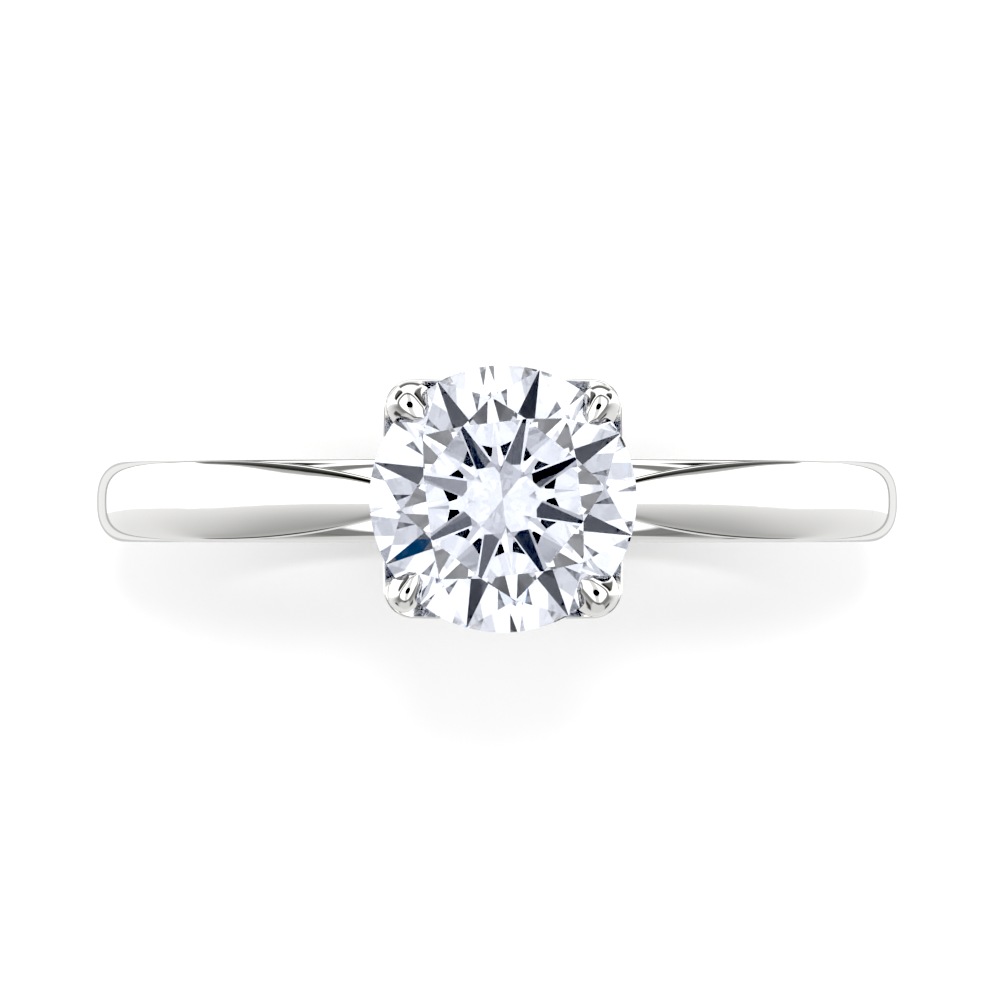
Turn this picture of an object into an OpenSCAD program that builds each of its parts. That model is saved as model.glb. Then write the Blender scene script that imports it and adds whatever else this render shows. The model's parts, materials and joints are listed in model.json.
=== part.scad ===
// Four-claw solitaire engagement ring with a tulip head and cathedral shoulders.
// Millimetres. The finger hole runs along Y, its centre is the origin, and the stone faces +Z.

/* [Band] */
// Inside diameter of the finger hole
finger_d = 16.9; // [15.7:0.1:17.6]
// Width of the band along the finger
band_w = 2; // [1.8:0.1:2.4]
// Thickness of the band away from the shoulders
band_t = 1.65; // [1.5:0.05:1.8]
// Thickness that is left of the band under the shoulders and the head
bridge_t = 1.05; // [0.9:0.05:1.1]
// Radius of the low dome across the outside of the band
dome_r = 4.5; // [3.5:0.5:8]
// Radius of the outer edges of the band
outer_edge_r = 0.3; // [0.15:0.05:0.4]
// Radius of the inner edges of the band
inner_edge_r = 0.2; // [0.1:0.05:0.3]

/* [Shoulders] */
// Angle above the band's middle where the shoulders are let into the band
lap_angle = 22; // [20:1:30]
// Angle at which the shoulders leave the band's round and rise to the head
rise_angle = 42; // [40:1:45]
// Angle at which the underside of the shoulders leaves the bridge
window_angle = 66; // [63:1:68]
// Distance from the middle where the top of the shoulders starts to narrow
taper_x = 7.2; // [6.5:0.1:7.5]
// Half width of the shoulders before they narrow
shoulder_half_w = 0.94; // [0.9:0.01:0.95]

/* [Stone] */
// Diameter of the round brilliant
stone_d = 6.5; // [6.2:0.1:6.6]
// Width of the table, corner to corner, as a share of the diameter
table_share = 0.62; // [0.55:0.01:0.64]
// Angle of the crown's main facets
crown_angle = 33; // [32:0.5:35]
// Angle of the pavilion's main facets
pavilion_angle = 41; // [40.4:0.1:41.4]
// How far the star facets reach from the table's edge to the girdle
star_share = 0.45; // [0.4:0.05:0.6]
// How far the lower half facets reach from the girdle to the culet
lower_share = 0.79; // [0.7:0.01:0.85]
// Thickness of the girdle at its thick places
girdle_t = 0.2; // [0.16:0.02:0.24]
// Turn of the stone's main facets from the X axis
stone_turn = 29.2; // [0:0.1:45]
// Height of the stone's point above the bridge
culet_gap = 0.5; // [0.45:0.05:0.6]

/* [Head] */
// Radius of the round base under the claws
base_r = 1.25; // [1.1:0.05:1.3]
// Thickness of the base above the bridge
base_t = 0.45; // [0.4:0.05:0.5]
// Diameter of the peg that holds the base to the bridge
peg_d = 1; // [0.8:0.1:1.2]
// Height of the gallery wire above the base
rail_rise = 1.35; // [1.3:0.05:1.4]
// Radius of the ring that the gallery wire makes, to the middle of the wire
rail_r = 2.35; // [2.3:0.05:2.4]
// Diameter of the gallery wire
rail_wire_d = 0.7; // [0.6:0.05:0.75]
// Furthest that the claws reach from the stone's axis
claw_reach = 3.81; // [3.75:0.01:3.9]
// Half width of a claw's petal at its widest, just under the girdle
claw_half_w = 0.97; // [0.9:0.01:1]
// Radius of the upright corner down the outside of a claw
corner_r = 0.7; // [0.6:0.05:0.75]

/* [Hidden] */

$fn = 96;
solder_gap = 0.01;
metal = [0.86, 0.86, 0.87];
diamond = [0.93, 0.95, 1];

finger_r = finger_d / 2;
outer_r = finger_r + band_t;
seat_r = finger_r + bridge_t;
half_w = band_w / 2;
seat_edge_r = 0.15;

stone_r = stone_d / 2;
table_r = table_share * stone_r;
culet_z = seat_r + culet_gap;
girdle_low_z = culet_z + stone_r * tan(pavilion_angle);
girdle_high_z = girdle_low_z + girdle_t;

base_z = seat_r + base_t;
rail_z = base_z + rail_rise;

// ---- Curves and lofts ----

function bezier(p, t) =
    pow(1 - t, 3) * p[0] + 3 * pow(1 - t, 2) * t * p[1] + 3 * (1 - t) * t * t * p[2] + t * t * t * p[3];

function polar(r, a) = [r * cos(a), r * sin(a)];

function arc(centre, r, from, to, steps) =
    [for (i = [0 : steps]) centre + polar(r, from + (to - from) * i / steps)];

// Smooth step from 0 at a to 1 at b.
function ease(x, a, b) = let (t = max(0, min(1, (x - a) / (b - a)))) t * t * (3 - 2 * t);

// Straight-line look-up in a list of [position, value].
function between(list, x) =
    x <= list[0][0] ? list[0][1]
    : x >= list[len(list) - 1][0] ? list[len(list) - 1][1]
    : let (i = [for (k = [0 : len(list) - 2]) if (x >= list[k][0] && x < list[k + 1][0]) k][0])
      let (share = (x - list[i][0]) / (list[i + 1][0] - list[i][0]))
      list[i][1] + (list[i + 1][1] - list[i][1]) * share;

// Closed solid between two rings of the same number of points.
module segment(low, high) {
    n = len(low);
    sides = [for (i = [0 : n - 1]) each [[i, (i + 1) % n, n + (i + 1) % n], [i, n + (i + 1) % n, n + i]]];
    caps = [[for (i = [n - 1 : -1 : 0]) i], [for (i = [0 : n - 1]) n + i]];
    polyhedron(points = concat(low, high), faces = concat(sides, caps));
}

// Chain of convex segments through a list of rings.
module chain(rings) {
    for (i = [0 : len(rings) - 2])
        hull() segment(rings[i], rings[i + 1]);
}

// ---- Band ----

// Outline of the band in [radius, across], with a low dome outside and rounded edges.
function band_outline(top_r, edge_r, dome) =
    let (edge_top = top_r - dome + sqrt(dome * dome - pow(half_w - edge_r, 2)))
    let (lean = asin((half_w - edge_r) / dome))
    concat(
        arc([finger_r + inner_edge_r, -half_w + inner_edge_r], inner_edge_r, 180, 270, 5),
        arc([edge_top - edge_r, -half_w + edge_r], edge_r, -90, -lean, 6),
        [for (i = [1 : 7]) [top_r - dome, 0] + polar(dome, -lean + 2 * lean * i / 8)],
        arc([edge_top - edge_r, half_w - edge_r], edge_r, lean, 90, 6),
        arc([finger_r + inner_edge_r, half_w - inner_edge_r], inner_edge_r, 90, 180, 5)
    );

// Closed band: full thickness below, thinned to a bridge under the shoulders and the head.
module shank() {
    color(metal) difference() {
        rotate([90, 0, 0]) {
            rotate_extrude(start = 180 - lap_angle, angle = 180 + 2 * lap_angle)
                polygon(band_outline(outer_r, outer_edge_r, dome_r));
            rotate_extrude(start = lap_angle, angle = 180 - 2 * lap_angle)
                polygon(band_outline(seat_r, seat_edge_r, 2 * dome_r));
        }
        translate([0, 0, finger_r - 1])
            cylinder(d = peg_d + 2 * solder_gap, h = bridge_t + 2);
    }
}

// ---- Shoulders ----

shoulder_steps = 30;
// Share of a shoulder's length, on its top and on its underside, that follows the band's round.
top_arc_share = 0.42;
under_arc_share = 0.72;
rise_start = polar(outer_r, rise_angle);
rise_way = [-sin(rise_angle), cos(rise_angle)];
rise_end = [rail_r + 0.15, rail_z + 0.3];
under_start = polar(seat_r + solder_gap, window_angle);
under_end = [rail_r + 0.07, rail_z - 0.58];

// Top of a shoulder in [x, z]: along the band's round, then up in a nearly straight line.
function shoulder_top(t) =
    t < top_arc_share
    ? polar(outer_r, lap_angle + (rise_angle - lap_angle) * t / top_arc_share)
    : bezier([rise_start, rise_start + 1.7 * rise_way, rise_end + [1.3, -1.02], rise_end],
             (t - top_arc_share) / (1 - top_arc_share));

// Underside of a shoulder in [x, z]: on the bridge, then rising to leave the window open.
function shoulder_under(t) =
    t < under_arc_share
    ? polar(seat_r + solder_gap, lap_angle + (window_angle - lap_angle) * t / under_arc_share)
    : bezier([under_start, under_start + [-0.45, 0.3], under_end + [0.35, -0.4], under_end],
             (t - under_arc_share) / (1 - under_arc_share));

// Half width of a shoulder's top, and of its underside, by the distance from the ring's middle.
function shoulder_top_half(x) = shoulder_half_w - 0.0218 * pow(max(0, taper_x - x), 2.215);

function shoulder_under_half(x) = 0.42 + 0.56 * ease(x, 2.8, 4.8);

// One cross-section of a shoulder: flat below, leaning sides, rounded edges and a low dome on top.
function shoulder_ring(t) =
    let (top = shoulder_top(t), under = shoulder_under(t))
    let (h = norm(top - under), up = (top - under) / h)
    let (a = shoulder_top_half(top[0]), b = shoulder_under_half(under[0]))
    let (edge = 0.18 + 0.08 * ease(top[0], 4.5, 8.5))
    let (drop = a * a / (2 * dome_r))
    let (half = concat(
        [[b, 0], [b, 0.12 * h], [a, h - drop - edge]],
        [for (k = [1 : 3]) [a - edge * (1 - cos(30 * k)), h - drop - edge + edge * sin(30 * k)]],
        [[0.45 * a, h - 0.15 * drop]]))
    [for (p = half) [under[0] + up[0] * p[1], p[0], under[1] + up[1] * p[1]],
     for (i = [len(half) - 1 : -1 : 0]) let (p = half[i])
        [under[0] + up[0] * p[1], -p[0], under[1] + up[1] * p[1]]];

module shoulder() {
    color(metal) difference() {
        chain([for (i = [0 : shoulder_steps]) shoulder_ring(i / shoulder_steps)]);
        rail_wire(rail_wire_d / 2 + solder_gap, 72, 24);
    }
}

// ---- Head ----

// Ring of wire; the notches that it lies in are cut with a coarser one.
module rail_wire(wire_r, turns, sides) {
    translate([0, 0, rail_z])
        rotate_extrude($fn = turns)
            translate([rail_r, 0]) circle(r = wire_r, $fn = sides);
}

module gallery_rail() {
    color(metal) rail_wire(rail_wire_d / 2, 96, 48);
}

// Round cup on the bridge; the dish in its top clears the stone's point.
module head_base() {
    color(metal) difference() {
        rotate_extrude()
            polygon([[0, seat_r - 0.2], [base_r - 0.3, seat_r - 0.2], [base_r - 0.2, seat_r + 0.1],
                     [base_r - 0.05, base_z - 0.15], [base_r, base_z - 0.05], [base_r, base_z],
                     [0.55, base_z], [0.25, base_z - 0.2], [0, base_z - 0.2]]);
        rotate([90, 0, 0]) cylinder(r = seat_r + solder_gap, h = 8, center = true);
        translate([0, 0, seat_r - 1]) cylinder(d = peg_d + 2 * solder_gap, h = 3);
    }
}

// Peg soldered through the bridge, flush with the finger hole and with the dish of the base.
module head_peg() {
    color(metal) difference() {
        translate([0, 0, finger_r - 0.5]) cylinder(d = peg_d, h = base_z - 0.2 - finger_r + 0.5);
        rotate([90, 0, 0]) cylinder(r = finger_r, h = 8, center = true);
    }
}

// A claw is a petal that flares from the base to the girdle, with a talon on it that is bent over the crown.
// Each is swept along two curves in [r, z], one for its outside and one for its inside.
rim_z = girdle_low_z + 0.05;
petal_outer = [[1.2, base_z], [2, base_z + 0.35],
               [claw_reach - 0.06, base_z + 1.25], [claw_reach, rim_z - 0.4]];
petal_inner = [[0.66, base_z], [1.3, base_z + 0.5], [2.6, base_z + 1.35], [3, rim_z - 0.4]];
petal_widths = [[0, 0.38], [0.35, 0.48], [0.75, claw_half_w - 0.12], [1, claw_half_w]];
talon_outer = [[claw_reach - 0.06, rim_z - 0.2], [claw_reach, rim_z + 0.5],
               [claw_reach - 0.45, rim_z + 0.85], [claw_reach - 1.03, rim_z + 0.5]];
talon_inner = [[3, rim_z - 0.2], [3, rim_z], [2.92, rim_z + 0.15], [2.76, rim_z + 0.34]];
talon_widths = [[0, 0.5], [0.4, 0.48], [0.7, 0.4], [0.9, 0.27], [1, 0.14]];
petal_steps = 12;
talon_steps = 12;
side_steps = 6;

// How far a corner of the given radius, with straight sides at 45 degrees, falls away beside its crown.
function corner_drop(x, r) = x < r * sin(45) ? r - sqrt(r * r - x * x) : x + r * (1 - sqrt(2));

// One cross-section of a petal: a rounded corner outside and flat inside.
function petal_ring(outer, inner, w, shrink) =
    let (thick = norm(outer - inner), out = (outer - inner) / thick)
    let (half = concat([[0.02, w - 0.06]], [for (i = [side_steps : -1 : 0])
        let (x = (w - shrink) * sin(90 * i / side_steps)) [thick - shrink - corner_drop(x, corner_r), x]]))
    [for (p = half) [inner[0] + out[0] * p[0], p[1], inner[1] + out[1] * p[0]],
     for (i = [len(half) - 2 : -1 : 0]) let (p = half[i])
        [inner[0] + out[0] * p[0], -p[1], inner[1] + out[1] * p[0]]];

// One cross-section of a talon: a dome drawn up to a soft ridge.
function talon_ring(outer, inner, w) =
    let (rise = outer - inner)
    [for (i = [0 : 2 * side_steps])
        let (a = 90 * i / side_steps, share = pow(sin(a), 1.15))
        [inner[0] + rise[0] * share, w * cos(a), inner[1] + rise[1] * share],
     [inner[0] - 0.25, -0.6 * w, inner[1] - 0.2], [inner[0] - 0.25, 0.6 * w, inner[1] - 0.2]];

module petal() {
    rim = [petal_outer[3] + [0, 0.33], petal_inner[3] + [0, 0.33]];
    top = [petal_outer[3] + [0, 0.4], petal_inner[3] + [0, 0.4]];
    chain(concat(
        [for (i = [0 : petal_steps]) let (t = i / petal_steps)
            petal_ring(bezier(petal_outer, t), bezier(petal_inner, t), between(petal_widths, t), 0)],
        [petal_ring(rim[0], rim[1], claw_half_w, 0), petal_ring(top[0], top[1], claw_half_w, 0.06)]));
}

module talon() {
    chain([for (i = [0 : talon_steps]) let (t = i / talon_steps)
        talon_ring(bezier(talon_outer, t), bezier(talon_inner, t), between(talon_widths, t))]);
}

module claw(turn) {
    color(metal) rotate([0, 0, turn]) difference() {
        union() {
            petal();
            talon();
        }
        rotate([0, 0, -turn]) stone(solder_gap);
        rail_wire(rail_wire_d / 2 + solder_gap, 72, 24);
    }
}

// ---- Stone ----

// Facet plane through three points, as [normal, distance].
function plane(a, b, c) = let (n = cross(b - a, c - a)) [n, n * a];

// Height of a plane above the point [x, y].
function plane_z(p, at) = (p[1] - p[0][0] * at[0] - p[0][1] * at[1]) / p[0][2];

function ring_point(r, a, z) = [r * cos(a), r * sin(a), z];

girdle_steps = 4;

// Corners of the brilliant cut. Main facets are centred every 45 degrees from stone_turn.
function stone_points(grow) =
    let (r = stone_r + grow, low = girdle_low_z - grow, high = girdle_high_z + grow)
    let (rise = tan(crown_angle), fall = tan(pavilion_angle))
    let (edge_mid = table_r * cos(22.5), star_r = edge_mid + star_share * (r - edge_mid))
    let (star_z = high + (r - star_r * cos(22.5)) * rise)
    let (deep_r = (1 - lower_share) * r, deep_z = low - (r - deep_r * cos(22.5)) * fall)
    let (upper = plane(ring_point(r, 0, high), ring_point(r, 22.5, high), ring_point(star_r, 22.5, star_z)))
    let (lower = plane(ring_point(r, 0, low), ring_point(r, 22.5, low), ring_point(deep_r, 22.5, deep_z)))
    concat(
        [[0, 0, low - r * fall]],
        [for (k = [0 : 7]) let (a = stone_turn + 45 * k)
            each [ring_point(table_r, a, high + (r - table_r) * rise),
                  ring_point(star_r, a + 22.5, star_z),
                  ring_point(deep_r, a + 22.5, deep_z)]],
        [for (k = [0 : 7], side = [-1, 1], i = [0 : girdle_steps])
            let (b = 22.5 * i / girdle_steps, at = polar(r, b), a = stone_turn + 45 * k + side * b)
            each [ring_point(r, a, plane_z(upper, at)), ring_point(r, a, plane_z(lower, at))]]
    );

module stone(grow) {
    points = stone_points(grow);
    hull() for (i = [1 : len(points) - 2]) polyhedron(
        points = [points[0], points[i], points[i + 1], [0, 0, girdle_high_z]],
        faces = [[0, 1, 2], [0, 2, 3], [0, 3, 1], [1, 3, 2]]);
}

module centre_diamond() {
    color(diamond) stone(0);
}

shank();
mirror([1, 0, 0]) shoulder();  // left_shoulder
shoulder();  // right_shoulder
head_base();
head_peg();
gallery_rail();
claw(-45);  // claw_front_right
claw(45);  // claw_back_right
claw(135);  // claw_back_left
claw(-135);  // claw_front_left
centre_diamond();
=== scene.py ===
import json
import math

import bmesh
import bpy
import numpy as np
from mathutils import Matrix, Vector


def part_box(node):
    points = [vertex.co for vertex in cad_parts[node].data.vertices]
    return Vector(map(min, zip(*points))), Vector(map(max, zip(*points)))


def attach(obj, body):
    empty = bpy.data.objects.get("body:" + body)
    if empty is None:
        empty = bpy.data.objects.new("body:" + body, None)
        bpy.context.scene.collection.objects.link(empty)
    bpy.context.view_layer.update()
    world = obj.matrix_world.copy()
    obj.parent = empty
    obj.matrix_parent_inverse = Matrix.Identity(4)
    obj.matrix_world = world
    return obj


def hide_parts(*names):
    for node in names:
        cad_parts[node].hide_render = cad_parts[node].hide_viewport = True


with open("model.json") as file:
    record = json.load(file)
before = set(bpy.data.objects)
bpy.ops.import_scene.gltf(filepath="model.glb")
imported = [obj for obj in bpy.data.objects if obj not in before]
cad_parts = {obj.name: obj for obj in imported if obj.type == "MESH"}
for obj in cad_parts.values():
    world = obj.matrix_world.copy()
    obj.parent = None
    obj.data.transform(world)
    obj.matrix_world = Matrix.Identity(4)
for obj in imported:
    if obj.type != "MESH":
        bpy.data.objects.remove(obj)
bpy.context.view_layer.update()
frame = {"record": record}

# ---------------------------------------------------------------------------------------------------------
# Shank. One closed band of platinum: cast, turned true, filed to a low dome with full, soft edges and
# mirror-polished. Its top is thinned to a bridge that carries the shoulders and the head, and a small
# hole through the bridge takes the head's peg.
# ---------------------------------------------------------------------------------------------------------

MM = 0.001
finger_r = frame["record"]["mounts"][0]["dims"]["r_mm"]
band_low, band_high = (np.array(corner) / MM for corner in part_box("shank"))
outer_r = -band_low[2]
band_half_w = band_high[1]
bridge_r = finger_r + 1.05
lap_angle = math.radians(22)
edge_fall = 0.7
bridge_edge_fall = 0.3
edge_power = 2.6
inner_edge_r = 0.2


def ease(x, low, high):
    """Smooth step: 0 below low, 1 above high, 3t^2 - 2t^3 between them."""
    t = np.clip((x - low) / (high - low), 0, 1)
    return t * t * (3 - 2 * t)


def mesh_piece(name, points, faces):
    """Object whose mesh has these points, given in millimetres, and these faces, with no doubled points."""
    mesh = bpy.data.meshes.new(name)
    mesh.from_pydata(np.asarray(points, float).reshape(-1, 3) * MM, [], faces)
    piece = bpy.data.objects.new(name, mesh)
    bpy.context.scene.collection.objects.link(piece)
    tidy = bmesh.new()
    tidy.from_mesh(mesh)
    bmesh.ops.remove_doubles(tidy, verts=tidy.verts, dist=1e-8)
    bmesh.ops.dissolve_degenerate(tidy, edges=tidy.edges, dist=1e-9)
    bmesh.ops.recalc_face_normals(tidy, faces=tidy.faces)
    tidy.to_mesh(mesh)
    tidy.free()
    return piece


def grid_faces(rows, columns, wrap_rows, wrap_columns):
    """Quads between neighbours of a grid, and across its ends where it wraps."""
    r = np.arange(rows if wrap_rows else rows - 1)
    c = np.arange(columns if wrap_columns else columns - 1)
    r, c = (a.ravel() for a in np.meshgrid(r, c, indexing="ij"))
    r2, c2 = (r + 1) % rows, (c + 1) % columns
    return np.stack([r * columns + c, r * columns + c2, r2 * columns + c2, r2 * columns + c], 1).tolist()


def solid_from_rings(name, rings, closed_path=False):
    """Solid through a stack of closed rings [ring, point, xyz]. An open stack gets flat end faces."""
    count, around = rings.shape[:2]
    faces = grid_faces(count, around, closed_path, True)
    if not closed_path:
        faces += [list(range(around))[::-1], [(count - 1) * around + i for i in range(around)]]
    return mesh_piece(name, rings, faces)


def smooth_piece(piece, edge_degrees=40):
    """Smooth shading, with an edge left crisp where its faces meet at more than edge_degrees."""
    mesh = piece.data
    mesh.polygons.foreach_set("use_smooth", np.ones(len(mesh.polygons), bool))
    mesh.set_sharp_from_angle(angle=math.radians(edge_degrees))
    return piece


def cut(piece, cutter, how="DIFFERENCE"):
    """Exact boolean of a piece with a cutter, applied, and the cutter thrown away."""
    step = piece.modifiers.new("cut", "BOOLEAN")
    step.operation = how
    step.solver = "EXACT"
    step.object = cutter
    bpy.context.view_layer.update()
    made = bpy.data.meshes.new_from_object(piece.evaluated_get(bpy.context.evaluated_depsgraph_get()))
    piece.modifiers.clear()
    piece.data = made
    bpy.data.objects.remove(cutter)
    return piece


def capsule_arc(centre, radius, start, end, count):
    """Points of an arc: centre + radius (cos a, sin a), a running evenly from start to end in degrees."""
    a = np.radians(np.linspace(start, end, count))
    return np.stack([centre[0] + radius * np.cos(a), centre[1] + radius * np.sin(a)], 1)


def band_outside(top_r, fall):
    """Outside of the band in [across, radius]: the superellipse |y/w|^p + ((r - base)/fall)^2 = 1."""
    t = np.linspace(0, math.pi, 61)
    across = -band_half_w * np.sign(np.cos(t)) * np.abs(np.cos(t)) ** (2 / edge_power)
    return np.stack([across, top_r - fall + fall * np.sin(t)], 1)


def band_section(top_r, fall):
    """Closed section of the band in [across, radius]: superellipse outside, flat and round-edged inside."""
    side = band_half_w - inner_edge_r
    inner_right = capsule_arc((side, finger_r + inner_edge_r), inner_edge_r, 0, -90, 9)
    inner_left = capsule_arc((-side, finger_r + inner_edge_r), inner_edge_r, -90, -180, 9)
    floor = np.stack([np.linspace(side, -side, 13)[1:-1], np.full(11, finger_r)], 1)
    return np.concatenate([band_outside(top_r, fall), inner_right, floor, inner_left])


def around_finger(section, angles):
    """A section in [across, radius] turned about Y to each angle: x = r cos a, z = r sin a."""
    r, y = section[:, 1], section[:, 0]
    c, s = np.cos(angles)[:, None], np.sin(angles)[:, None]
    return np.stack([r * c, np.broadcast_to(y, (len(angles), len(y))), r * s], 2)


step_wall = 0.0004
round_angles = np.linspace(math.pi - lap_angle, 2 * math.pi + lap_angle, 361)
bridge_angles = np.linspace(lap_angle + step_wall, math.pi - lap_angle - step_wall, 241)
shank = solid_from_rings("band", np.concatenate([
    around_finger(band_section(outer_r, edge_fall), round_angles),
    around_finger(band_section(bridge_r, bridge_edge_fall), bridge_angles),
]), closed_path=True)


def rod(name, radius, low, high, around=64):
    """Plain upright rod about the Z axis, from height low to height high."""
    a = np.linspace(0, 2 * math.pi, around, endpoint=False)
    circle = np.stack([radius * np.cos(a), radius * np.sin(a), 0 * a], 1)
    return solid_from_rings(name, np.stack([circle + [0, 0, low], circle + [0, 0, high]]))


peg_r = 0.5
cut(shank, rod("peg hole", peg_r + 0.01, finger_r - 1, bridge_r + 1))
smooth_piece(shank)


def platinum(name, base, rough, scratch_depth, scratch_scale):
    """Polished platinum: its own white, clouded a little by fine rub marks and buffing lines."""
    material = bpy.data.materials.new(name)
    material.use_nodes = True
    nodes, links = material.node_tree.nodes, material.node_tree.links
    shader = nodes["Principled BSDF"]
    shader.inputs["Metallic"].default_value = 1
    place = nodes.new("ShaderNodeTexCoord")
    stretch = nodes.new("ShaderNodeMapping")
    stretch.inputs["Scale"].default_value = (1, 6, 1)
    links.new(place.outputs["Object"], stretch.inputs["Vector"])

    cloud = nodes.new("ShaderNodeTexNoise")
    cloud.inputs["Scale"].default_value = 260
    cloud.inputs["Detail"].default_value = 4
    links.new(place.outputs["Object"], cloud.inputs["Vector"])
    tone = nodes.new("ShaderNodeMix")
    tone.data_type = "RGBA"
    tone.inputs["A"].default_value = (*(0.985 * c for c in base), 1)
    tone.inputs["B"].default_value = (*base, 1)
    links.new(cloud.outputs["Fac"], tone.inputs["Factor"])
    links.new(tone.outputs["Result"], shader.inputs["Base Color"])

    gloss = nodes.new("ShaderNodeMapRange")
    gloss.inputs["From Min"].default_value = 0.35
    gloss.inputs["From Max"].default_value = 0.7
    gloss.inputs["To Min"].default_value = rough * 0.7
    gloss.inputs["To Max"].default_value = rough * 1.5
    links.new(cloud.outputs["Fac"], gloss.inputs["Value"])
    links.new(gloss.outputs["Result"], shader.inputs["Roughness"])

    lines = nodes.new("ShaderNodeTexNoise")
    lines.inputs["Scale"].default_value = scratch_scale
    lines.inputs["Detail"].default_value = 6
    links.new(stretch.outputs["Vector"], lines.inputs["Vector"])
    bump = nodes.new("ShaderNodeBump")
    bump.inputs["Strength"].default_value = scratch_depth
    bump.inputs["Distance"].default_value = 0.02 * MM
    links.new(lines.outputs["Fac"], bump.inputs["Height"])
    links.new(bump.outputs["Normal"], shader.inputs["Normal"])
    return material


def finish_piece(piece, material, slot, *nodes):
    """Gives a finished piece its material, the body it rides on and the nodes it stands for. Its slot is not
    used.
    """
    piece.data.materials.clear()
    piece.data.materials.append(material)
    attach(piece, "root")
    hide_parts(*nodes)


platinum_white = (0.87, 0.865, 0.85)
finish_piece(shank, platinum("polished band", platinum_white, 0.035, 0.012, 2600), "platinum_band", "shank")

# ---------------------------------------------------------------------------------------------------------
# Shoulders. Two tapered arches, filed to the band's round where they are let into it, that rise straight to
# the gallery and leave a narrow window over the bridge. The seams are soldered and polished away.
# ---------------------------------------------------------------------------------------------------------

rail_low, rail_high = (np.array(corner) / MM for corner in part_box("gallery_rail"))
wire_r = (rail_high[2] - rail_low[2]) / 2
rail_z = (rail_high[2] + rail_low[2]) / 2
rail_r = rail_high[0] - wire_r
solder_gap = 0.01
rise_angle = math.radians(42)
window_angle = math.radians(66)
rise_pull = 1.7
rise_end_pull = [1.3, -1.02]
under_pull = [-0.45, 0.3]
under_end_pull = [0.35, -0.4]
taper_x = 7.2
taper_rate = 0.0218
taper_power = 2.215
shoulder_half_w = 0.975
edge_round = 0.1
dome_r = 2.5
head_blend_x = (7.4, 10.0)
lap_blend_x = (7.9, 9.3)
side_lean = 0.5
top_arc_share = 0.42
under_arc_share = 0.72


def bezier(points, t):
    """Cubic curve through the first and last of four points, pulled towards the two between."""
    t = np.asarray(t)[..., None]
    a, b, c, d = (np.array(p, float) for p in points)
    return (1 - t) ** 3 * a + 3 * (1 - t) ** 2 * t * b + 3 * (1 - t) * t ** 2 * c + t ** 3 * d


def arc_then_rise(t, share, radius, start, end, points):
    """A curve in [x, z]: round the finger at a radius for the first share, and then the given cubic."""
    angle = start + (end - start) * np.minimum(t / share, 1)
    arc = np.stack([radius * np.cos(angle), radius * np.sin(angle)], -1)
    rise = bezier(points, np.clip((t - share) / (1 - share), 0, 1))
    return np.where((t < share)[..., None], arc, rise)


def shoulder_top(t):
    """Top line of a shoulder in [x, z]."""
    start = outer_r * np.array([math.cos(rise_angle), math.sin(rise_angle)])
    way = np.array([-math.sin(rise_angle), math.cos(rise_angle)])
    end = np.array([rail_r + 0.15, rail_z + 0.3])
    points = [start, start + rise_pull * way, end + rise_end_pull, end]
    return arc_then_rise(t, top_arc_share, outer_r, lap_angle, rise_angle, points)


def shoulder_under(t):
    """Underside of a shoulder in [x, z]: on the bridge, then up to the gallery rail."""
    radius = bridge_r + solder_gap
    start = radius * np.array([math.cos(window_angle), math.sin(window_angle)])
    end = np.array([rail_r + 0.07, rail_z - 0.58])
    points = [start, start + under_pull, end + under_end_pull, end]
    return arc_then_rise(t, under_arc_share, radius, lap_angle, window_angle, points)


def shoulder_rings(t, columns=81):
    """Sections of a shoulder: flat below, leaning sides, and a top that falls away from its middle.

    At the lap the fall is the band's own superellipse. Towards the head it blends into a low dome with
    narrow round edges, whose power makes the rounding begin the same distance in however narrow the
    shoulder gets.
    """
    top, under = shoulder_top(t), shoulder_under(t)
    up = top - under
    height = np.linalg.norm(up, axis=1, keepdims=True)
    up = up / height
    x = top[:, :1]
    head = 1 - ease(x, *head_blend_x)
    taper = shoulder_half_w - taper_rate * np.maximum(0, taper_x - x) ** taper_power
    top_half = taper + (band_half_w - taper) * ease(x, *lap_blend_x)
    power = 3 / -np.log(1 - 1.3 * edge_round / top_half)

    def fall(share):
        band = edge_fall * (1 - np.sqrt(1 - share ** edge_power))
        dome = edge_round * (1 - np.sqrt(1 - share ** power)) + (share * top_half) ** 2 / (2 * dome_r)
        return band + (dome - band) * head

    tries = np.linspace(0, 1, 2001)[None]
    widest = tries[0][(fall(tries) <= height).sum(1) - 1][:, None]
    a = np.linspace(0, 1, columns)[None]
    share = np.cos(math.pi * (a - np.sin(2 * math.pi * a) / (2.4 * math.pi))) * widest
    across, level = top_half * share, np.maximum(height - fall(np.abs(share)), 0)
    down = np.linspace(0, 1, 9)[None, :-1]
    lean = side_lean * (1 - np.exp(-0.3 * level[:, :1] / side_lean))
    side_across = across[:, :1] - lean * (1 - down)
    side_level = down * level[:, :1]
    across = np.concatenate([side_across, across, -side_across[:, ::-1]], 1)
    level = np.concatenate([side_level, level, side_level[:, ::-1]], 1)
    place = under[:, None, :] + up[:, None, :] * level[:, :, None]
    return np.stack([place[:, :, 0], across, place[:, :, 1]], 2)


def rail_ring(name, radius, turns=240, around=56):
    """Ring of round wire: the torus with the gallery rail's centre line and this wire radius."""
    a = np.linspace(0, 2 * math.pi, turns, endpoint=False)[:, None]
    b = np.linspace(0, 2 * math.pi, around, endpoint=False)[None]
    r = rail_r + radius * np.cos(b)
    rings = np.stack([r * np.cos(a), r * np.sin(a), rail_z + radius * np.sin(b) + 0 * a], 2)
    return solid_from_rings(name, rings, closed_path=True)


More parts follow.
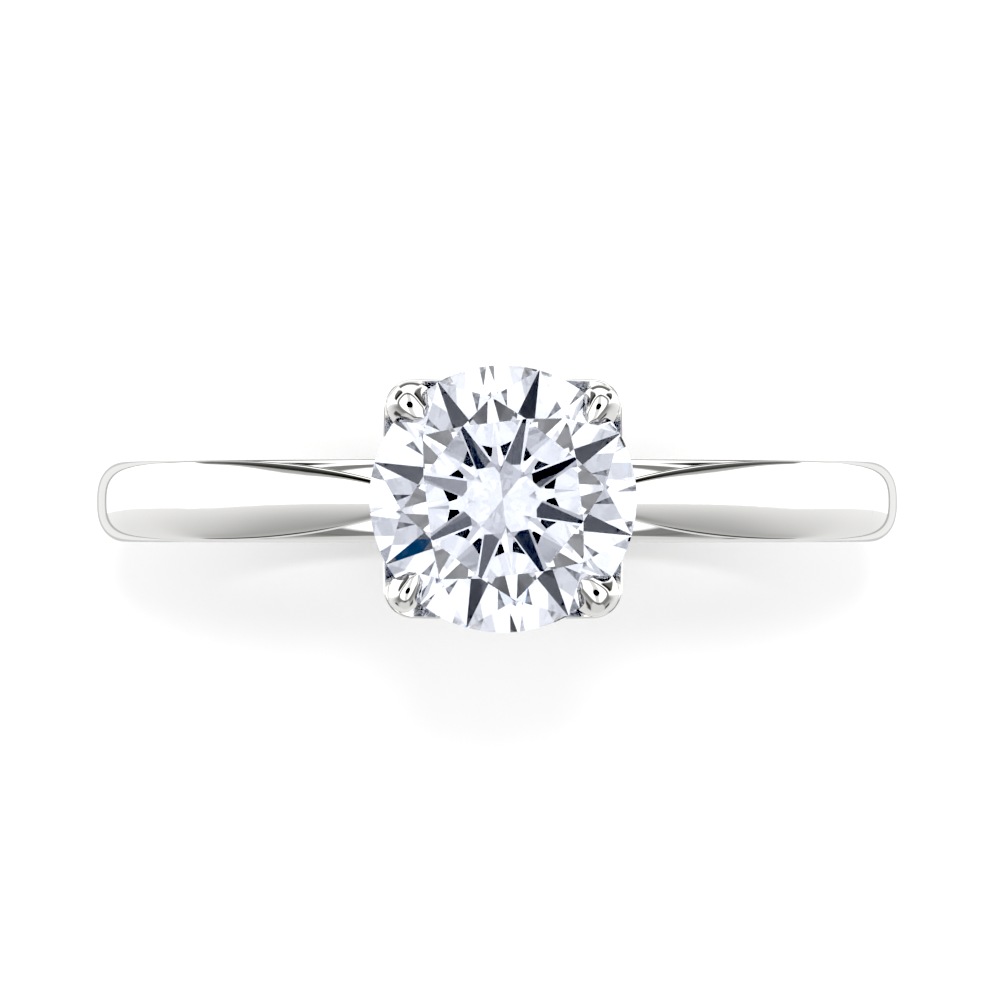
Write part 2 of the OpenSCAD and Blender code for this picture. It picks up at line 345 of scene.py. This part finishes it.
shoulder_metal = platinum("polished shoulder", platinum_white, 0.035, 0.012, 2600)
for side, name in ((1, "right_shoulder"), (-1, "left_shoulder")):
    rings = shoulder_rings(np.linspace(0, 1, 181)) * [side, 1, 1]
    shoulder = solid_from_rings(name.replace("_", "-"), rings)
    cut(shoulder, rail_ring("notch", wire_r + solder_gap, 120, 40))
    smooth_piece(shoulder, 35)
    finish_piece(shoulder, shoulder_metal, "platinum_shoulder", name)

# ---------------------------------------------------------------------------------------------------------
# Head base, peg and gallery rail. The base is a small turned cup, filed hollow to sit on the bridge. Its
# peg goes through the bridge and is filed flush inside. The rail is a ring of drawn wire that ties the claws.
# ---------------------------------------------------------------------------------------------------------

base_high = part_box("head_base")[1][2] / MM
base_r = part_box("head_base")[1][0] / MM


def turned(name, profile, foot_r=None, around=96):
    """Solid turned about Z from a profile in [r, z], its foot lifted onto a cylinder of foot_r along Y."""
    a = np.linspace(0, 2 * math.pi, around, endpoint=False)
    r, z = profile[:, :1], profile[:, 1:]
    x, y, z = r * np.cos(a), r * np.sin(a), z + 0 * a
    if foot_r:
        z = np.maximum(z, np.sqrt(foot_r ** 2 - x ** 2))
    return solid_from_rings(name, np.stack([x, y, z], 2))


def soft_corner(before, corner, after, size, count=6):
    """Rounded corner of a profile: a quadratic curve from one side of the corner to the other."""
    before, corner, after = (np.array(p, float) for p in (before, corner, after))
    start = corner + size * (before - corner) / np.linalg.norm(before - corner)
    end = corner + size * (after - corner) / np.linalg.norm(after - corner)
    t = np.linspace(0, 1, count)[:, None]
    return (1 - t) ** 2 * start + 2 * (1 - t) * t * corner + t ** 2 * end


def soft_profile(points, sizes):
    """Profile through the points, each inner corner rounded to its size."""
    inner = [soft_corner(*points[i - 1:i + 2], sizes[i - 1]) for i in range(1, len(points) - 1)]
    return np.concatenate([[points[0]], *inner, [points[-1]]])


cup = soft_profile([[peg_r + solder_gap, bridge_r - 0.3], [base_r - 0.3, bridge_r - 0.3],
                    [base_r - 0.16, base_high - 0.2], [base_r, base_high], [0.62, base_high],
                    [peg_r + solder_gap, base_high - 0.1]], [0.03, 0.06, 0.05, 0.08])
angles = np.linspace(0, 2 * math.pi, 128, endpoint=False)[:, None]
cup_x, cup_y = cup[:, 0] * np.cos(angles), cup[:, 0] * np.sin(angles)
cup_z = np.maximum(cup[:, 1] + 0 * angles, np.sqrt((bridge_r + solder_gap) ** 2 - cup_x ** 2))
head_base = solid_from_rings("head-base", np.stack([cup_x, cup_y, cup_z], 2), closed_path=True)
smooth_piece(head_base, 50)

head_metal = platinum("polished head", (0.85, 0.845, 0.83), 0.07, 0.06, 1800)
finish_piece(head_base, head_metal, "platinum_head", "head_base")

peg_top = base_high - 0.2
head_peg = turned("head-peg", soft_profile(
    [[0.001, finger_r - 0.3], [peg_r, finger_r - 0.3], [peg_r, peg_top], [0.001, peg_top]], [0.02, 0.05]),
    foot_r=finger_r)
smooth_piece(head_peg, 50)
finish_piece(head_peg, head_metal, "platinum_head", "head_peg")

gallery_rail = smooth_piece(rail_ring("gallery-rail", wire_r))
finish_piece(gallery_rail, head_metal, "platinum_head", "gallery_rail")

# ---------------------------------------------------------------------------------------------------------
# Centre diamond. A round brilliant of 57 facets with a polished girdle, cut from one crystal. Its crown is
# gripped by the four claws, and nothing else touches it.
# ---------------------------------------------------------------------------------------------------------

stone_low, stone_high = (np.array(corner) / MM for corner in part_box("centre_diamond"))
stone_r = stone_high[0]
culet_z = stone_low[2]
table_share = 0.62
crown_slope = math.tan(math.radians(33))
pavilion_slope = math.tan(math.radians(41))
star_share = 0.45
lower_share = 0.79
girdle_t = 0.2
stone_turn = math.radians(29.2)
eighth = math.radians(45)
half_eighth = eighth / 2
girdle_low = culet_z + stone_r * pavilion_slope
girdle_high = girdle_low + girdle_t


def ring_points(radius, angle, z):
    """Point or points at a radius, an angle and a height."""
    angle = np.asarray(angle, float)
    return np.stack([radius * np.cos(angle), radius * np.sin(angle), z + 0 * angle], -1)


def plane_heights(a, b, c, xy):
    """Heights, over points in [x, y], of the plane through three points."""
    n = np.cross(b - a, c - a)
    return (n @ a - xy @ n[:2]) / n[2]


def brilliant(name, grow=0.0, girdle_steps=8):
    """Round brilliant: table, 8 stars, 8 crown and 8 pavilion mains, 16 upper and 16 lower halves, girdle.

    A main's slope fixes the crown and the pavilion, and every other corner lies where facet planes meet.
    """
    r, low, high = stone_r + grow, girdle_low - grow, girdle_high + grow
    table_r = table_share * stone_r
    edge_r = table_r * math.cos(half_eighth)
    star_r = edge_r + star_share * (r - edge_r)
    star_z = high + (r - star_r * math.cos(half_eighth)) * crown_slope
    deep_r = (1 - lower_share) * r
    deep_z = low - (r - deep_r * math.cos(half_eighth)) * pavilion_slope
    main = stone_turn + eighth * np.arange(8)
    side = main + half_eighth
    table = ring_points(table_r, main, high + (r - table_r) * crown_slope)
    star = ring_points(star_r, side, star_z)
    deep = ring_points(deep_r, side, deep_z)
    culet = np.array([[0, 0, low - r * pavilion_slope]])

    step = half_eighth * np.arange(girdle_steps + 1) / girdle_steps
    flat = np.stack([r * np.cos(step), r * np.sin(step)], 1)
    star_tip = ring_points(star_r, half_eighth, star_z)
    deep_tip = ring_points(deep_r, half_eighth, deep_z)
    upper = plane_heights(ring_points(r, 0, high), ring_points(r, half_eighth, high), star_tip, flat)
    lower = plane_heights(ring_points(r, 0, low), ring_points(r, half_eighth, low), deep_tip, flat)
    scallop = np.concatenate([step, (eighth - step[::-1])[1:-1]])
    turns = (main[:, None] + scallop).ravel()
    upper_z = np.tile(np.concatenate([upper, upper[::-1][1:-1]]), 8)
    lower_z = np.tile(np.concatenate([lower, lower[::-1][1:-1]]), 8)
    rims = [ring_points(r, turns, upper_z), ring_points(r, turns, lower_z)]
    points = np.concatenate([table, star, deep, culet, *rims])

    count = len(turns)
    top, bottom, n = 25, 25 + count, 2 * girdle_steps
    faces = [list(range(8))]
    for k in range(8):
        after, before = (k + 1) % 8, (k - 1) % 8
        arc = [(k * n + i) % count for i in range(n + 1)]
        first, second = arc[:girdle_steps + 1], arc[girdle_steps:]
        faces += [[k, 8 + k, after], [k, 8 + before, top + arc[0], 8 + k],
                  [8 + k, *(top + i for i in first)], [8 + k, *(top + i for i in second)],
                  [16 + k, *(bottom + i for i in first)], [16 + k, *(bottom + i for i in second)],
                  [24, 16 + before, bottom + arc[0], 16 + k]]
    faces += [[top + i, bottom + i, bottom + (i + 1) % count, top + (i + 1) % count] for i in range(count)]
    return mesh_piece(name, points, faces)


diamond = brilliant("centre-diamond")

stone_material = bpy.data.materials.new("diamond")
stone_material.use_nodes = True
stone_shader = stone_material.node_tree.nodes["Principled BSDF"]
stone_nodes, stone_links = stone_material.node_tree.nodes, stone_material.node_tree.links
stone_place = stone_nodes.new("ShaderNodeTexCoord")
stone_cloud = stone_nodes.new("ShaderNodeTexNoise")
stone_cloud.inputs["Scale"].default_value = 900
stone_cloud.inputs["Detail"].default_value = 5
stone_links.new(stone_place.outputs["Object"], stone_cloud.inputs["Vector"])
stone_tone = stone_nodes.new("ShaderNodeMix")
stone_tone.data_type = "RGBA"
stone_tone.inputs["A"].default_value = (0.845, 0.875, 0.97, 1)
stone_tone.inputs["B"].default_value = (0.875, 0.9, 0.985, 1)
stone_links.new(stone_cloud.outputs["Fac"], stone_tone.inputs["Factor"])
stone_links.new(stone_tone.outputs["Result"], stone_shader.inputs["Base Color"])
stone_shader.inputs["Roughness"].default_value = 0
stone_shader.inputs["IOR"].default_value = 2.417
stone_shader.inputs["Transmission Weight"].default_value = 1
finish_piece(diamond, stone_material, "diamond", "centre_diamond")

# ---------------------------------------------------------------------------------------------------------
# Claws. Four petals that flare from the base to the girdle, each with a talon that is cut with a notch for
# the stone, bent over the crown and filed to a rounded point. They are soldered to the base and the rail.
# ---------------------------------------------------------------------------------------------------------

claw_reach = 3.81
claw_half_w = 0.97
corner_r = 0.7
rim_z = girdle_low + 0.05
rim_depth = 0.4
rim_round = 0.07
rim_fall = 0.28
petal_outer = [[1.2, base_high], [2, base_high + 0.35], [claw_reach - 0.06, base_high + 1.25],
               [claw_reach, rim_z - rim_depth]]
petal_inner = [[0.66, base_high], [1.3, base_high + 0.5], [2.6, base_high + 1.35], [3, rim_z - rim_depth]]
talon_outer = [[claw_reach - 0.05, rim_z - 0.15], [claw_reach - 0.01, rim_z + 0.72],
               [claw_reach - 0.5, rim_z + 0.86], [claw_reach - 1.05, rim_z + 0.58]]
talon_inner = [[3, rim_z - 0.2], [3, rim_z], [2.92, rim_z + 0.15], [2.74, rim_z + 0.34]]
talon_width_at = [0, 0.25, 0.5, 0.8, 1]
talon_half_w = [0.6, 0.56, 0.44, 0.31, 0.25]
talon_side_power = 0.8
talon_top_power = 0.95
talon_foot = [0.25, 0.2]


def corner_drop(x, r):
    """How far a corner of radius r, with straight sides at 45 degrees, falls away at x beside its crown."""
    x = np.abs(x)
    round_part = r - np.sqrt(np.maximum(r * r - x * x, 0))
    return np.where(x < r * math.sin(math.pi / 4), round_part, x + r * (1 - math.sqrt(2)))


def petal_rings(count=72, columns=60):
    """Sections of a petal: a rounded corner outside, and a top that falls inwards from a narrow round rim.

    The last sections draw in from the rim to the middle of the top, where front and back meet.
    """
    t = np.linspace(0, 1, count)
    outer, inner = bezier(petal_outer, t), bezier(petal_inner, t)
    lift = rim_depth - rim_round
    outer = np.concatenate([outer, outer[-1] + np.linspace(0, lift, 9)[1:, None] * [0, 1]])
    inner = np.concatenate([inner, inner[-1] + np.linspace(0, lift - rim_fall, 9)[1:, None] * [0, 1]])
    t = np.concatenate([t, np.ones(8)])
    half_w = np.interp(t, [0, 0.35, 0.75, 1], [0.38, 0.48, claw_half_w - 0.12, claw_half_w])[:, None]
    out = outer - inner
    thick = np.linalg.norm(out, axis=1, keepdims=True)
    out = out / thick
    a = np.linspace(-math.pi / 2, math.pi / 2, columns)[None]
    across = half_w * np.sin(a)
    front = thick - corner_drop(across, corner_r)
    back = np.minimum(front - 0.06, 0.02)
    front = inner[:, None, :] + out[:, None, :] * front[:, :, None]
    back = inner[:, None, :] + out[:, None, :] * back[:, :, None]

    turn = np.linspace(0, math.pi / 2, 7)[1:]
    rim_in = rim_round * (1 - np.cos(turn))[:, None, None] * [-1, 0]
    rim_up = rim_round * np.sin(turn)[:, None, None] * [0, 1]
    rims = front[-1] + rim_in + rim_up
    backs = np.broadcast_to(back[-1], rims.shape)
    share = np.linspace(0, 1, 9)[1:, None, None] / 2
    front = np.concatenate([front, rims, rims[-1] + (back[-1] - rims[-1]) * share])
    back = np.concatenate([back, backs, back[-1] + (rims[-1] - back[-1]) * share])
    rows = len(front) - len(across)
    across = np.concatenate([across, np.repeat(across[-1:], rows, 0)])
    place = np.concatenate([front, back[:, ::-1]], 1)
    across = np.concatenate([across, across[:, ::-1]], 1)
    return np.stack([place[:, :, 0], across, place[:, :, 1]], 2)


def talon_rings(wide, reach_in, count=64, columns=41):
    """Sections of a talon: half a cone, broad at the petal's rim, drawn in to a blunt tip on the crown.

    Across, a section is half a superellipse: nearly flat on top, with sides that turn down quickly.
    """
    t = np.linspace(0, 1, count)
    outer, inner = bezier(talon_outer, t), bezier(talon_inner, t)
    outer[:, 0] -= reach_in * t ** 2
    inner[:, 0] -= reach_in * t ** 2
    half_w = wide * np.interp(t, talon_width_at, talon_half_w)
    half_w = (half_w * np.sqrt(1 - 0.8 * ease(t, 0.85, 1.0) ** 2))[:, None]
    a = np.linspace(0, math.pi, columns)[None]
    share = np.sin(a) ** talon_top_power
    rise = outer - inner
    place = inner[:, None, :] + rise[:, None, :] * share[:, :, None]
    across = half_w * np.sign(np.cos(a)) * np.abs(np.cos(a)) ** talon_side_power
    foot = np.broadcast_to(inner[:, None, :] - talon_foot, (count, 2, 2))
    foot_across = half_w * np.array([[-0.6, 0.6]])
    place = np.concatenate([place, foot], 1)
    across = np.concatenate([across, foot_across], 1)
    return np.stack([place[:, :, 0], across, place[:, :, 1]], 2)


def turn_about_z(rings, angle):
    """The same points, turned about Z."""
    c, s = math.cos(angle), math.sin(angle)
    return rings @ np.array([[c, s, 0], [-s, c, 0], [0, 0, 1]])


def swing(rings, degrees):
    """The talon, swung about its root on the rim by a few degrees, as no two are filed quite alike."""
    root = np.array([claw_reach - 0.35, 0, 0])
    return turn_about_z(rings - root, math.radians(degrees)) + root


claw_metal = platinum("polished claw", platinum_white, 0.04, 0.02, 2200)
# Each claw's place round the stone, and its talon's swing, breadth and extra reach.
claws = (("claw_front_right", -45, 4, 1.08, 0.02), ("claw_back_right", 45, 12, 0.95, 0.0),
         ("claw_back_left", 135, 3, 1.1, 0.0), ("claw_front_left", -135, 14, 0.85, 0.02))
for name, degrees, swing_degrees, wide, reach_in in claws:
    angle = math.radians(degrees)
    claw = solid_from_rings(name.replace("_", "-"), turn_about_z(petal_rings(), angle))
    talon = swing(talon_rings(wide, reach_in), swing_degrees)
    cut(claw, solid_from_rings("talon", turn_about_z(talon, angle)), "UNION")
    cut(claw, brilliant("seat", solder_gap))
    cut(claw, rail_ring("notch", wire_r + solder_gap, 120, 40))
    smooth_piece(claw, 38)
    finish_piece(claw, claw_metal, "platinum_claw", name)

# ---------------------------------------------------------------------------------------------------------
# Studio. White paper under the ring, white screens and grey walls for the metal to mirror, a soft sun from
# behind, and a camera far above that looks down onto the stone.
# ---------------------------------------------------------------------------------------------------------

floor_half = 2000.0
floor_z = -outer_r
corners = [[-floor_half, -floor_half, floor_z], [floor_half, -floor_half, floor_z],
           [floor_half, floor_half, floor_z], [-floor_half, floor_half, floor_z]]
floor = mesh_piece("floor", corners, [[0, 1, 2, 3]])
floor_material = bpy.data.materials.new("white paper")
floor_material.use_nodes = True
floor_shader = floor_material.node_tree.nodes["Principled BSDF"]
floor_shader.inputs["Base Color"].default_value = (0.9, 0.9, 0.9, 1)
floor_shader.inputs["Roughness"].default_value = 0.9
floor_shader.inputs["Specular IOR Level"].default_value = 0
floor.data.materials.append(floor_material)

# The metal and the stone do not see this paper. Below the ring they mirror the room, which has a painted
# shadow in it.
floor.visible_glossy = False
floor.visible_transmission = False

scene = bpy.context.scene
world = bpy.data.worlds.new("studio")
scene.world = world
world.use_nodes = True
room_nodes, room_links = world.node_tree.nodes, world.node_tree.links


def room_math(how, *values):
    """One math node of the room; each value is a number or another node's output."""
    node = room_nodes.new("ShaderNodeMath")
    node.operation = how
    for socket, value in zip(node.inputs, values):
        if isinstance(value, (int, float)):
            socket.default_value = value
        else:
            room_links.new(value, socket)
    return node.outputs[0]


def room_step(value, low, high, at_low=0.0, at_high=1.0):
    """Smooth step of an output: at_low below low, at_high above high."""
    node = room_nodes.new("ShaderNodeMapRange")
    node.interpolation_type = "SMOOTHSTEP"
    for name, number in (("From Min", low), ("From Max", high), ("To Min", at_low), ("To Max", at_high)):
        node.inputs[name].default_value = number
    room_links.new(value, node.inputs["Value"])
    return node.outputs["Result"]


def room_mix(first, second, share):
    """First, where share is 0, to second, where share is 1."""
    return room_math("ADD", room_math("MULTIPLY", first, room_math("SUBTRACT", 1, share)),
                     room_math("MULTIPLY", second, share))


# The way a ray looks into the room: X to the right, Y to the back, Z up, each from -1 to 1.
way = room_nodes.new("ShaderNodeTexCoord").outputs["Generated"]
way_parts = room_nodes.new("ShaderNodeSeparateXYZ")
room_links.new(way, way_parts.inputs[0])
way_x, way_y, way_z = way_parts.outputs
side_x = room_math("ABSOLUTE", way_x)
path = room_nodes.new("ShaderNodeLightPath")
through_stone = path.outputs["Is Transmission Ray"]

screen_white = 1.35
paper_white = 1.06
lens_black = 0.01
band_grey = 0.36
black_level = 0.15
white_level = 0.92
metal_white = 0.865
gap_black = 0.0
gap_grey = 0.14
gap_end_grey = 0.42
skirting_black = 0.05
wall_ahead = 0.65
# Greys of the painted shadow of the ring on the paper, as the metal mirrors it straight below.
painted_shadow_grey = 0.78
painted_shadow_core_grey = 0.5
painted_shadow_line_grey = 0.4


def shows(value):
    """Brightness of the room that makes polished metal look this light, from 0 for black to 1 for white."""
    return (black_level + value * (white_level - black_level)) / metal_white


def both(first, second):
    """1 where both are 1."""
    return room_math("MULTIPLY", first, second)


def between(value, low, low_end, high, high_end):
    """1 between low_end and high, fading to 0 at low and at high_end."""
    return both(room_step(value, low, low_end), room_step(value, high, high_end, 1, 0))


# Behind the ring stand lit white screens, with a dark gap between them that is lighter at its ends.
gap_edge = room_math("MULTIPLY_ADD", way_z, 0.35, way_y)
gap_sides = both(room_step(side_x, 0.5, 0.6), room_step(way_z, 0.1, 0.2, 1, 0))
gap_ends = both(room_step(gap_edge, 0.31, 0.34), gap_sides)
gap_middle = both(room_step(gap_edge, 0.37, 0.41), gap_sides)
gap_corner = room_step(room_math("MULTIPLY_ADD", side_x, -1.5, way_y), -0.08, 0)
gap_corner = both(gap_corner, between(way_z, -0.9, -0.87, -0.6, -0.5))
gap = room_math("MAXIMUM", gap_middle, gap_corner)
gap_shade = room_step(way_z, -0.3, 0.0, shows(gap_grey), shows(gap_black))
behind = room_mix(screen_white, shows(gap_end_grey), both(gap_ends, room_step(way_z, -0.4, -0.2)))
behind = room_mix(behind, gap_shade, gap)

# In front of it the wall is grey, darker towards the horizon and away from the sides, and paler straight
# ahead, with a dark skirting.
depth = room_step(way_z, -0.7, 0.3, 0.15, 0.75)
away = room_math("POWER", room_step(way_y, -0.42, 0.0, 1, 0), 0.6)
level = room_step(way_z, 0.1, 0.5, 0.87, 0.5)
front = both(level, room_math("SUBTRACT", 1, both(depth, away)))
skirting = both(between(way_y, -0.8, -0.76, -0.62, -0.56), between(way_z, -0.5, -0.42, -0.26, -0.18))
front = room_mix(front, skirting_black, skirting)
front = room_mix(front, wall_ahead, room_step(way_y, -0.86, -0.8, 1, 0))
front = room_math("MULTIPLY_ADD", front, shows(1) - shows(0), shows(0))

# Straight below, the metal mirrors a painted shadow of the ring on the paper: a thin painted shadow line all
# round, a little greyer inside that line, and greyer still straight down.
around_ring = room_mix(front, behind, room_step(way_y, -0.06, -0.045))
painted_paper_shadow = room_step(way_z, -0.99, -0.975, shows(painted_shadow_core_grey), shows(painted_shadow_grey))
around_ring = room_mix(around_ring, painted_paper_shadow, room_step(way_z, -0.93, -0.905, 1, 0))
around_ring = room_mix(around_ring, shows(painted_shadow_line_grey), between(way_z, -0.925, -0.912, -0.905, -0.892))

# Overhead the screens lean in above a grey band, which reaches higher as the stone shows it. They leave a
# narrow gap along Y, and the lens looks down through a dark hole in the middle.
above = room_mix(around_ring, screen_white, room_step(way_z, 0.48, 0.62))
band_top = room_mix(room_step(way_z, 0.48, 0.56, 1, 0), room_step(way_z, 0.64, 0.7, 1, 0), through_stone)
above = room_mix(above, band_grey, both(room_step(way_z, 0.28, 0.34), band_top))
along_gap = both(room_step(side_x, 0.16, 0.24, 1, 0), room_step(way_z, 0.3, 0.5))
above = room_mix(above, room_math("MULTIPLY", above, 0.6), along_gap)
hole = room_step(way_z, math.cos(math.radians(18)), math.cos(math.radians(7)))
seen = room_mix(above, lens_black, hole)

# The paper is lit by, and the camera sees, a plain white room.
plain = room_math("MAXIMUM", path.outputs["Is Camera Ray"], path.outputs["Is Diffuse Ray"])
room_links.new(room_mix(seen, paper_white, plain), room_nodes["Background"].inputs["Strength"])


def toward(x, y, z, degrees):
    """1 inside a small round patch of the room that lies this way, as only the stone shows it."""
    length = math.sqrt(x * x + y * y + z * z)
    parts = [room_math("MULTIPLY", part_way, part / length)
             for part_way, part in ((way_x, x), (way_y, y), (way_z, z))]
    along = room_math("ADD", room_math("ADD", parts[0], parts[1]), parts[2])
    edge = math.cos(math.radians(degrees))
    return both(room_step(along, edge - 0.0005, edge + 0.0005), through_stone)


def tinted(colour, patch, tint):
    """The room's colour so far, changed to a tint inside a patch."""
    fire = room_nodes.new("ShaderNodeMix")
    fire.data_type = "RGBA"
    room_links.new(patch, fire.inputs["Factor"])
    if isinstance(colour, tuple):
        fire.inputs["A"].default_value = colour
    else:
        room_links.new(colour, fire.inputs["A"])
    fire.inputs["B"].default_value = tint
    return fire.outputs["Result"]


# Two small patches of coloured light stand for the stone's fire, which splits white light into colours.
fire_blue = (0.28, 0.48, 0.8, 1)
fire_pink = (1, 0.6, 0.9, 1)
room_colour = tinted((1, 1, 1, 1), toward(-0.45, -0.24, 0.86, 3.6), fire_blue)
room_colour = tinted(room_colour, toward(-0.4, -0.6, 0.3, 2.5), fire_pink)
room_links.new(room_colour, room_nodes["Background"].inputs["Color"])

key_tilt = math.radians(9.6)
key = bpy.data.lights.new("key", "SUN")
key.energy = 0.5
key.angle = math.radians(7)
key_lamp = bpy.data.objects.new("key", key)
key_lamp.rotation_euler = (-key_tilt, 0, 0)
key_lamp.visible_glossy = False
key_lamp.visible_transmission = False
scene.collection.objects.link(key_lamp)

view_distance = 350.0
frame_width = 25.25
camera_data = bpy.data.cameras.new("camera")
camera_data.sensor_width = 36
camera_data.lens = camera_data.sensor_width * view_distance / frame_width
camera_data.clip_start = 0.01
camera_data.clip_end = 20
camera = bpy.data.objects.new("camera", camera_data)
scene.collection.objects.link(camera)
# The camera stands a little to the left of the stone and a little in front of it.
aim = np.array([0.076, 0.05, 0])
stand = np.array([-4.0, -2.0, view_distance])
back = (stand - aim) / np.linalg.norm(stand - aim)
across = np.cross([0, 1, 0], back)
across = across / np.linalg.norm(across)
camera.matrix_world = Matrix(np.stack([across, np.cross(back, across), back], 1)).to_4x4()
camera.location = stand * MM
scene.camera = camera

scene.view_settings.view_transform = "Standard"
scene.view_settings.use_curve_mapping = True
scene.view_settings.curve_mapping.black_level = (black_level, black_level, black_level)
scene.view_settings.curve_mapping.white_level = (white_level, white_level, white_level)
scene.cycles.max_bounces = 40
scene.cycles.transmission_bounces = 32
scene.cycles.glossy_bounces = 12
scene.cycles.transparent_max_bounces = 16
